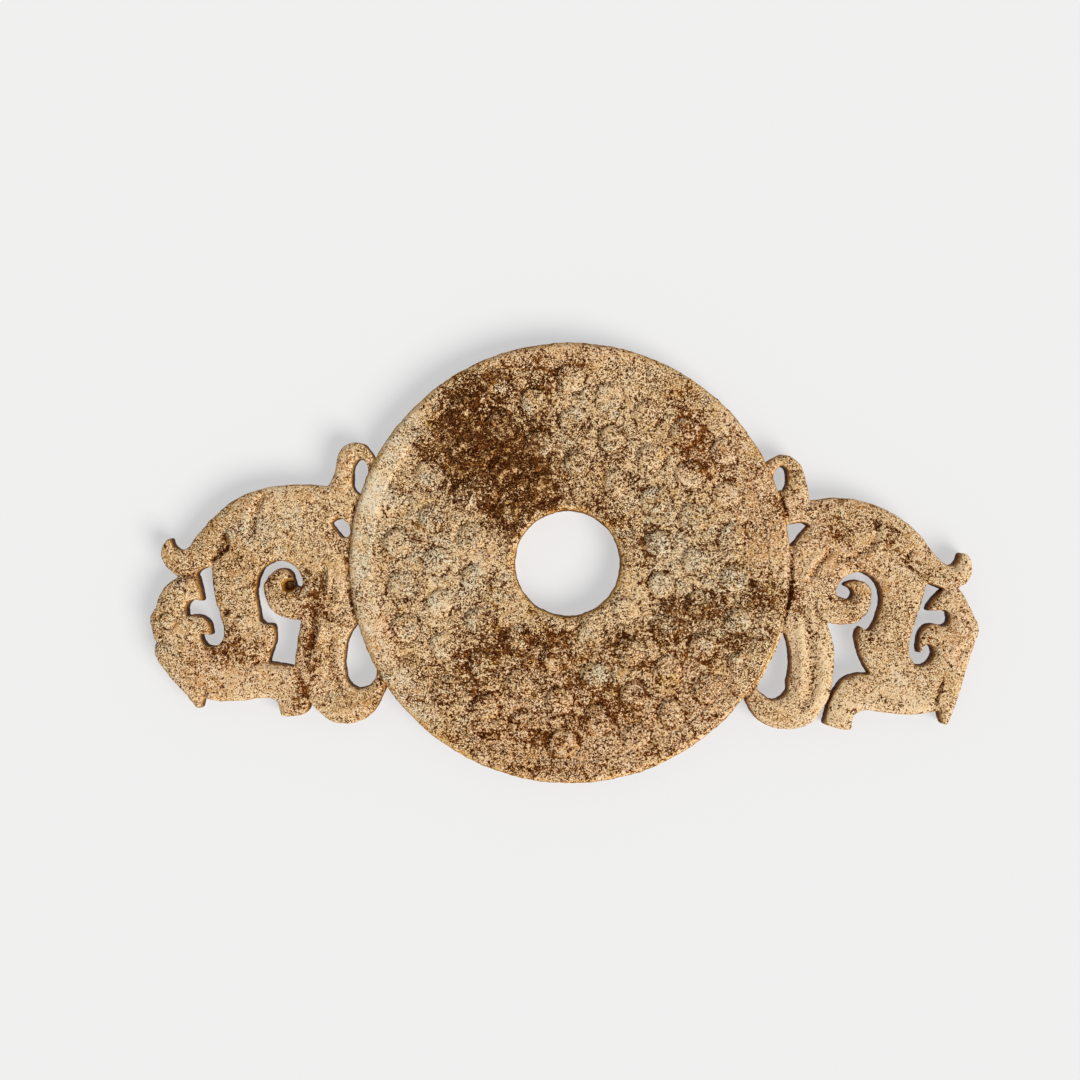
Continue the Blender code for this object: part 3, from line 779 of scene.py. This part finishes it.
    # Lines, wear of the edges and slight unevenness, each fading out below the top.
    on_top = z.rise(FACE_START, 3.95)
    wear_width = given.out("Edge Width") * (0.55 + 0.45 * on_dragon)
    bare = (1.0 - from_wall / wear_width).high(0.0)
    drop = bare * bare * given.out("Edge Drop") * (0.45 + 0.55 * on_dragon)
    nick = t.noise(place, 1.3, 2.0, 0.6, 9).rise(0.10, 0.2) * from_wall.rise(0.7, 0.1) * 0.28
    lines = on_dragon * (ridge * ridge_depth * 1.5 - groove * groove_depth * 1.25)
    moved_z = carved_z + on_top * (lines - pit * pit_depth - seam * 0.34)
    moved_z = moved_z + upper * ((swell + pitted) * (0.35 + 0.65 * inside) - drop - nick)
    back_wear = from_wall.rise(0.9, 0.0) * 0.22
    back_swell = (t.noise(place, 0.3, 2.0, 0.5, 11) + 0.5) * 0.10
    moved_z = moved_z + lower * (back_wear + back_swell * inside)
    moved_z = moved_z.high(0.0).low(TOP + 0.12)

    # The outline strays a little, the same way from front to back, and the walls spread towards the back.
    level_place = t.join(place_x, place_y, z * 0.25)
    wander = (1.0 - on_field) * given.out("Outline Wander")

    def strayed(seed):
        coarse = t.noise(level_place, 0.55, 2.0, 0.5, seed) * 4.0
        return wander * (coarse + t.noise(level_place, 2.0, 1.0, 0.5, seed + 1) * 1.6)

    spread = 0.07 + z.rise(3.8, 1.5) * 0.08
    swelled = t.split(t.scaled(t.node("GeometryNodeInputNormal").out(), spread))
    moved = t.join(place_x + swelled[0] + strayed(13), place_y + swelled[1] + strayed(15), moved_z)
    inputs = {"Geometry": given.out("Stone"), "Position": t.scaled(moved, MM)}
    stone = t.node("GeometryNodeSetPosition", None, inputs).out()

    normal_z = t.split(t.node("GeometryNodeInputNormal").out())[2]
    groove_soil = on_dragon * groove * (groove_depth * 2.2).low(0.95)
    soil = on_top * (groove_soil + pit * (pit_depth * 2.0).low(1.0) + seam)
    soil = soil + on_field * there * (moat * 0.38 + ring_cut * 0.5 * clear)
    soil = soil + on_top * pit * (pit_depth * 0.5).low(0.6)
    for name, value in (
        ("carved_soil", soil.low(1.6)),
        ("near_edge", from_wall.rise(0.95, 0.0)),
        ("boss_top", on_field * there * dome * (0.3 + 0.9 * chance_b)),
        ("side", 1.0 - normal_z.math("ABSOLUTE")),
        ("front", z.rise(2.0, 3.4)),
        ("dragon", on_dragon),
        ("raised", on_top * on_dragon * ridge * (ridge_depth * 7.0).low(1.0)),
        ("polished_rim", radius.rise(25.85, 26.25) * (1.0 - on_dragon) * x.rise(-14.0, -22.0)),
    ):
        kind = {"data_type": "FLOAT", "domain": "POINT"}
        inputs = {"Geometry": stone, "Name": name, "Value": value}
        stone = t.node("GeometryNodeStoreNamedAttribute", kind, inputs).out()
    stone = t.node("GeometryNodeRealizeInstances", None, {"Geometry": stone}).out()
    stone = t.node("GeometryNodeSetMaterial", None, {"Geometry": stone, "Material": given.out("Material")}).out()
    t.node("NodeGroupOutput", None, {0: stone})
    return group, sockets


def marked(points, marks):
    """How strongly soft elliptical marks cover each point, from 0 to 1."""
    left = np.ones(len(points))
    for x, y, radius_x, radius_y, turn, strength in marks:
        cosine, sine = math.cos(math.radians(turn)), math.sin(math.radians(turn))
        dx, dy = points[:, 0] - x, points[:, 1] - y
        reach = ((dx * cosine + dy * sine) / radius_x) ** 2 + ((dy * cosine - dx * sine) / radius_y) ** 2
        left *= 1 - strength * np.exp(-1.1 * reach**1.5)
    return 1 - left


def store(mesh, name, values):
    attribute = mesh.attributes.get(name) or mesh.attributes.new(name, "FLOAT", "POINT")
    attribute.data.foreach_set("value", np.asarray(values, np.float32))


def mark_stone(mesh):
    """Stores where the face is stained, pale, greyish and ruddy."""
    points = np.empty(len(mesh.vertices) * 3)
    mesh.vertices.foreach_get("co", points)
    points = points.reshape(-1, 3) / MM - (AXIS_X, AXIS_Y, 0)
    for name, marks in (
        ("soil_mark", SOIL_MARKS),
        ("pale_mark", PALE_MARKS),
        ("cool_mark", COOL_MARKS),
        ("ruddy_mark", RUDDY_MARKS),
    ):
        store(mesh, name, marked(points, marks))


def triangle_count(mesh):
    return sum(len(p.vertices) - 2 for p in mesh.polygons)


def evaluated_mesh(thing):
    """The mesh of an object with its modifiers, and the object left without them."""
    graph = bpy.context.evaluated_depsgraph_get()
    mesh = bpy.data.meshes.new_from_object(thing.evaluated_get(graph), preserve_all_data_layers=True, depsgraph=graph)
    thing.modifiers.clear()
    thing.data = mesh
    return mesh


def cut_stone(carving, stone):
    """The whole plaque as one carved mesh."""
    solid = merged_solid()
    piece = linked(bpy.data.objects.new("plaque_stone", solid))
    helpers = {
        "Walls": wall_object(solid),
        "Carved Lines": line_object("carved_lines", CARVED_LINES),
        "Raised Lines": line_object("raised_lines", RAISED_LINES),
        "Pits": line_object("pits", [([(x, y), (x + 0.01, y)], r, d) for x, y, r, d in PITS]),
    }
    remesh = piece.modifiers.new("surface", "REMESH")
    remesh.mode = "VOXEL"
    remesh.voxel_size = carving.grid * 1.0
    remesh.use_smooth_shade = True
    tree, sockets = carving_tree()
    carve = piece.modifiers.new("carving", "NODES")
    carve.node_group = tree
    for name, value in (
        *helpers.items(),
        *((name, getattr(carving, name.lower().replace(" ", "_")) / MM) for name in CARVED_SIZES),
        ("Grain Turn", carving.grain_turn),
        ("Material", stone_material(stone)),
    ):
        carve[sockets[name]] = value
    mesh = evaluated_mesh(piece)
    for helper in helpers.values():
        bpy.data.objects.remove(helper)
    count = triangle_count(mesh)
    if count > carving.triangles:
        fewer = piece.modifiers.new("fewer", "DECIMATE")
        fewer.ratio = carving.triangles / count
        mesh = evaluated_mesh(piece)
    mark_stone(mesh)
    mesh.name = "plaque_stone"
    print("plaque_stone: %d triangles before, %d after" % (count, triangle_count(mesh)))
    return piece


# ---------------------------------------------------------------------------------------------------
# The stone's finish

# Display colours of the stone at rising tones, from soil to the palest stone.
TONE_STOPS = (0.05, 0.17, 0.29, 0.43, 0.57, 0.68, 0.77, 0.88)
WARM_STONE = (
    *((50, 17, 1), (83, 45, 18), (116, 73, 38), (158, 110, 60)),
    *((193, 147, 89), (216, 173, 119), (235, 197, 147), (250, 221, 178)),
)
COOL_STONE = (
    *((50, 20, 3), (80, 47, 16), (108, 78, 42), (142, 118, 78)),
    *((177, 154, 114), (204, 182, 142), (223, 204, 168), (243, 226, 198)),
)
OCHRE_STONE = (
    *((54, 20, 0), (92, 46, 4), (130, 74, 16), (172, 108, 36)),
    *((204, 145, 64), (222, 169, 92), (234, 189, 118), (245, 208, 144)),
)
RUDDY_STONE = (
    *((54, 18, 2), (88, 42, 9), (124, 69, 22), (166, 105, 44)),
    *((201, 142, 78), (223, 170, 113), (238, 197, 150), (249, 221, 186)),
)
# Tint of the painted glow on the walls, as of light shining through the thin stone.
WALL_GLOW_TINT = (0.98, 0.95, 0.66, 1.0)


def stone_material(settings):
    """Altered jade: cream and tan ground with dark pores, brown soil stains and ochre edges, and walls with a painted
    golden glow near the top and painted shade towards the back.
    """
    material = bpy.data.materials.new("altered_jade_stone")
    material.use_nodes = True
    material.node_tree.nodes.clear()
    t = Tree(material.node_tree)

    def attribute(name):
        return t.node("ShaderNodeAttribute", {"attribute_name": name, "attribute_type": "GEOMETRY"}).out("Fac")

    place = t.node(
        "ShaderNodeMapping",
        {"vector_type": "POINT"},
        {"Vector": t.node("ShaderNodeTexCoord").out("Object"), "Scale": (1 / MM, 1 / MM, 1 / MM)},
    ).out()
    soil, edge, boss, side = (attribute(n) for n in ("carved_soil", "near_edge", "boss_top", "side"))
    front, dragon, rim, raised = (attribute(n) for n in ("front", "dragon", "polished_rim", "raised"))
    soil_mark, pale_mark, cool_mark, ruddy_mark = (
        attribute(n) * front for n in ("soil_mark", "pale_mark", "cool_mark", "ruddy_mark")
    )

    broad = t.noise(place, 0.13, 3.0, 0.55, 1)
    mottle = t.noise(place, 0.42, 4.0, 0.6, 2)
    clump = t.noise(place, 0.95, 5.0, 0.7, 9)
    grain = t.noise(place, 2.6, 2.2, 0.8, 3)
    fine = t.noise(place, 5.0, 1.0, 0.8, 4)
    pores = (t.noise(place, 4.2, 1.5, 0.8, 17) - 0.09).high(0.0)
    stray = t.node("ShaderNodeTexNoise", None, {"Vector": place, "Scale": 2.0, "Detail": 2.0}).out("Color")
    ragged = t.vector("ADD", place, t.scaled(stray, 0.6))
    small, small_hue = t.cells(ragged, 4.6)
    large, large_hue = t.cells(ragged, 1.5)

    lip = edge * (1.0 - dragon)

    # Soil lies in ragged pores: few on the polished parts, nearly everywhere under the stains.
    cover = soil_mark * settings.staining + soil * 0.62 - raised * 0.3
    cover = cover + (1.0 - pale_mark) * (1.0 - dragon * 1.1) * 0.16 - boss * 0.10 - rim * 0.25 - lip * 0.12
    soaked = cover + mottle * 1.3 + clump * (1.8 + soil_mark * 1.4) + grain * (4.2 - soil_mark * 1.4) + small * 0.25
    covered = soaked.rise(0.39, 0.46)
    flecks = (t.noise(place, 2.6, 2.0, 0.8, 6) + small * 0.12).rise(0.11, 0.17)
    flakes = (t.noise(place, 1.1, 4.0, 0.8, 18) + boss * 0.05 + mottle * 0.2).rise(0.07, 0.12)
    veins = t.noise(place, 1.3, 3.0, 0.7, 7).math("ABSOLUTE").rise(0.022, 0.0)
    cracks = t.noise(place, 2.3, 2.0, 0.7, 15).math("ABSOLUTE").rise(0.03, 0.0)
    veins = veins * t.noise(place, 0.6, 1.0, 0.5, 8).rise(-0.02, 0.12)
    veins = veins + cracks * t.noise(place, 1.1, 1.0, 0.5, 16).rise(0.02, 0.10)

    # How strong the pores are: faint on polished and pale parts, strong round the soil.
    coarse = 0.95 + t.noise(place, 0.3, 3.0, 0.6, 10) * 3.4 + t.noise(place, 0.9, 2.0, 0.5, 19) * 2.4
    coarse = coarse + soil_mark * 0.25 - pale_mark * 0.30 - boss * 0.10
    strongest = settings.coarseness - dragon * 0.32 - rim * 0.2 - lip * 0.25 - ruddy_mark * (1.0 - dragon) * 0.28
    coarse = coarse.high(0.35).low(1.6) * strongest
    speckle = grain * 0.6 + fine * 3.1 - pores * 12.0 + small * 0.7 + large * 0.12 + clump * 0.3
    speckle = (speckle + flecks * 0.12 - veins * 0.24) * coarse

    # Tone: 0 is the darkest soil, 1 the palest stone; the left dragon is a little darker than the right one.
    place_x, _, place_z = t.split(place)
    tone = settings.paleness - dragon * (0.075 - place_x.rise(-5.0, 5.0) * 0.06) + boss * 0.03
    # Pale marks are brighter on edges; along the disc's right edge this is painted highlight as well as wear.
    tone = tone + broad * 0.4 + mottle * 0.5 + pale_mark * (0.06 + dragon * 0.05 + edge * 0.10)
    tone = tone + edge * 0.03 - ruddy_mark * 0.015 + rim * 0.02 + raised * 0.05 - soil.low(1.0) * 0.09
    dark = 0.27 - soil_mark * 0.08 - (soaked - 0.46).high(0.0).low(0.4) * 0.45 * (1.0 - soil_mark * 0.8)
    dark = dark + mottle * 0.5 + (flecks * 0.20 + flakes * 0.52) * soil_mark
    tone = tone.toward(dark, covered)
    # Walls: ochre, darker towards the back as painted shade, with a painted contact shadow along the foot, and a thin
    # dark line along the edge of the disc.
    wall = side.rise(0.28, 0.6)
    # Painted shade: the walls darken towards the back, most of all along the foot.
    wall_shade = place_z.rise(3.6, 1.8) * 0.42 + place_z.rise(0.9, 0.35) * 0.12
    tone = tone.toward(0.54 - wall_shade + mottle * 0.9, wall * 0.9) - (soil - 0.7).high(0.0) * 0.5
    tone = tone - side.rise(0.5, 0.8) * place_z.rise(3.4, 4.1) * (1.0 - dragon) * 0.3
    tone = tone + speckle * (1.0 - wall * 0.6) * (1.0 - covered * 0.68)

    def coloured(colours):
        stops = [(stop, display(*colour)) for stop, colour in zip(TONE_STOPS, colours)]
        return t.node("ShaderNodeValToRGB", {"stops": stops}, {"Fac": tone}).out("Color")

    def blended(first, second, share, blend_type="MIX"):
        kind = {"data_type": "RGBA", "blend_type": blend_type}
        return t.node("ShaderNodeMix", kind, {0: share, 6: first, 7: second}).out()

    coolness = cool_mark * 0.6 + rim * 0.6 + boss * 0.4 + t.noise(place, 0.45, 4.0, 0.7, 12) * 3.4 + small_hue * 0.5
    colour = blended(coloured(WARM_STONE), coloured(COOL_STONE), coolness.rise(0.12, 1.05) * (1.0 - covered * 0.7))
    warmth = edge * 0.2 + lip * 0.5 + ruddy_mark * 0.4 - dragon * 0.2 + wall * 0.8
    warmth = warmth + t.noise(place, 0.35, 4.0, 0.7, 13) * 3.4 + large_hue * 0.4 - small_hue * 0.4 - pale_mark * 0.4
    colour = blended(colour, coloured(OCHRE_STONE), warmth.rise(0.1, 0.9))
    redness = ruddy_mark * 0.9 + dragon * 0.22 + covered * 0.2
    redness = redness + t.noise(place, 0.3, 4.0, 0.7, 14) * 2.4 - cool_mark * 0.5
    colour = blended(colour, coloured(RUDDY_STONE), redness.rise(0.1, 0.8) * 0.85)
    # Painted glow: the walls turn golden towards the top, as if lit through the thin stone.
    colour = blended(colour, WALL_GLOW_TINT, wall * place_z.rise(0.8, 3.2), "MULTIPLY")

    height = grain * 0.9 + fine * 1.0 + small * 0.2 - covered * (1.0 - soil_mark) * 0.22
    bump = t.node("ShaderNodeBump", None, {"Strength": 0.6, "Distance": 0.00018, "Height": height}).out()
    rough = settings.roughness + covered * 0.22 + grain * 0.3
    polish = ((edge * 0.7 + boss * 0.5 + pale_mark * 0.5) * (1.0 - covered)).low(1.0) * 0.06
    inputs = {
        "Base Color": colour,
        "Roughness": rough,
        "Normal": bump,
        "Coat Weight": polish,
        "Coat Roughness": 0.35,
        "Specular IOR Level": 0.04,
    }
    t.node("ShaderNodeOutputMaterial", None, {"Surface": t.node("ShaderNodeBsdfPrincipled", None, inputs).out()})
    return material


# ---------------------------------------------------------------------------------------------------
# The stage


def floor_material(settings):
    material = bpy.data.materials.new("pale_floor")
    material.use_nodes = True
    shader = material.node_tree.nodes["Principled BSDF"]
    shader.inputs["Base Color"].default_value = (*settings.floor_colour, 1.0)
    shader.inputs["Roughness"].default_value = 0.95
    shader.inputs["Specular IOR Level"].default_value = 0.0
    shader.inputs["Emission Color"].default_value = (*settings.floor_glow, 1.0)
    shader.inputs["Emission Strength"].default_value = 1.0
    return material


def set_stage(settings):
    """A pale floor, one soft key light from the lower right, light all round, and the camera straight above."""
    reach = 1.5
    mesh = bpy.data.meshes.new("floor")
    corners = [(-reach, -reach, 0), (reach, -reach, 0), (reach, reach, 0), (-reach, reach, 0)]
    mesh.from_pydata(corners, [], [(0, 1, 2, 3)])
    mesh.materials.append(floor_material(settings))
    linked(bpy.data.objects.new("floor", mesh))

    key = bpy.data.lights.new("key", "SUN")
    key.energy = settings.key_strength
    key.angle = settings.key_softness
    key.color = (1.0, 0.99, 0.97)
    lamp = linked(bpy.data.objects.new("key", key))
    turn, climb = settings.key_turn, settings.key_climb
    toward = Vector((math.cos(turn) * math.cos(climb), math.sin(turn) * math.cos(climb), math.sin(climb)))
    lamp.location = toward * 0.6
    lamp.rotation_euler = toward.to_track_quat("Z", "Y").to_euler()

    world = bpy.data.worlds.new("studio")
    world.use_nodes = True
    world.node_tree.nodes["Background"].inputs["Color"].default_value = (0.97, 0.985, 1.0, 1.0)
    world.node_tree.nodes["Background"].inputs["Strength"].default_value = settings.fill
    scene = bpy.context.scene
    scene.world = world
    scene.view_settings.view_transform = "Standard"

    camera = bpy.data.cameras.new("camera")
    camera.sensor_width = 36.0
    camera.lens = camera.sensor_width * settings.camera_distance / settings.field_width
    camera.clip_start = 0.01
    view = linked(bpy.data.objects.new("camera", camera))
    view.location = (AIM[0] * MM, AIM[1] * MM, TOP * MM - AIM_DEPTH * MM + settings.camera_distance)
    scene.camera = view


# ---------------------------------------------------------------------------------------------------
# Operators, panel and registration


class PLAQUE_OT_cut_stone(bpy.types.Operator):
    """Cut the plaque: disc, grain, dragons, wear and finish"""

    bl_idname = "plaque.cut_stone"
    bl_label = "Cut Stone"
    bl_options = {"REGISTER", "UNDO"}

    def execute(self, context):
        piece = cut_stone(context.scene.plaque_carving, context.scene.plaque_stone)
        if not piece.data.polygons:
            raise RuntimeError("the carved stone has no faces")
        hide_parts("jade_plaque")
        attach(piece, "root")
        return {"FINISHED"}


class PLAQUE_OT_set_stage(bpy.types.Operator):
    """Set the pale floor, the soft light and the camera above"""

    bl_idname = "plaque.set_stage"
    bl_label = "Set Stage"
    bl_options = {"REGISTER", "UNDO"}

    def execute(self, context):
        set_stage(context.scene.plaque_stage)
        if context.scene.camera is None:
            raise RuntimeError("the stage has no camera")
        return {"FINISHED"}


class PLAQUE_PT_panel(bpy.types.Panel):
    """Operators and settings of the plaque"""

    bl_label = "Plaque"
    bl_idname = "PLAQUE_PT_panel"
    bl_space_type = "VIEW_3D"
    bl_region_type = "UI"
    bl_category = "Plaque"

    def draw(self, context):
        layout = self.layout
        for operator, settings in (
            (PLAQUE_OT_cut_stone, context.scene.plaque_carving),
            (None, context.scene.plaque_stone),
            (PLAQUE_OT_set_stage, context.scene.plaque_stage),
        ):
            box = layout.box()
            if operator:
                box.operator(operator.bl_idname)
            for name in settings.__annotations__:
                box.prop(settings, name)


CLASSES = (
    PlaqueCarvingSettings,
    PlaqueStoneSettings,
    PlaqueStageSettings,
    PLAQUE_OT_cut_stone,
    PLAQUE_OT_set_stage,
    PLAQUE_PT_panel,
)


def register():
    for cls in CLASSES:
        bpy.utils.register_class(cls)
    bpy.types.Scene.plaque_carving = bpy.props.PointerProperty(type=PlaqueCarvingSettings)
    bpy.types.Scene.plaque_stone = bpy.props.PointerProperty(type=PlaqueStoneSettings)
    bpy.types.Scene.plaque_stage = bpy.props.PointerProperty(type=PlaqueStageSettings)


def unregister():
    del bpy.types.Scene.plaque_carving, bpy.types.Scene.plaque_stone, bpy.types.Scene.plaque_stage
    for cls in reversed(CLASSES):
        bpy.utils.unregister_class(cls)


def main():
    register()
    bpy.ops.plaque.cut_stone()
    bpy.ops.plaque.set_stage()


if __name__ == "__main__":
    main()
